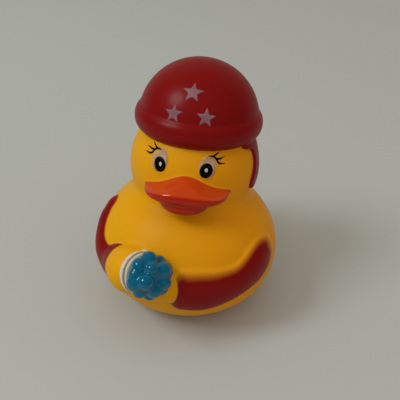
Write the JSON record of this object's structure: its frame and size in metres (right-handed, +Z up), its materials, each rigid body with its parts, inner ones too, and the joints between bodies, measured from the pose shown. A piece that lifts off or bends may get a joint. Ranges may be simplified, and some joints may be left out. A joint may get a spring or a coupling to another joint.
{
  "type": "rubber duck",
  "caption": "Soft vinyl bath duck with a rolled-brim helmet and chin strap, sleeved arms and a hose end with a burst of water, and a squeaker in its flat base.",
  "frame": {"origin": "on the surface that the duck stands on, under the middle of its outline", "axes": "+Z up, the duck faces -Y, its own left is +X"},
  "size_m": [0.0526, 0.069, 0.0705],
  "materials": {
    "yellow_vinyl": "soft satin vinyl, sprayed red, orange, white and blue",
    "print": "pad-printed ink",
    "white_plastic": "moulded",
    "clear_film": "thin moulded strip"
  },
  "bodies": {
    "root": {"duck_shell": "yellow_vinyl", "squeaker_case": "white_plastic", "squeaker_reed_holder": "white_plastic", "squeaker_reed": "clear_film"}
  },
  "joints": []
}
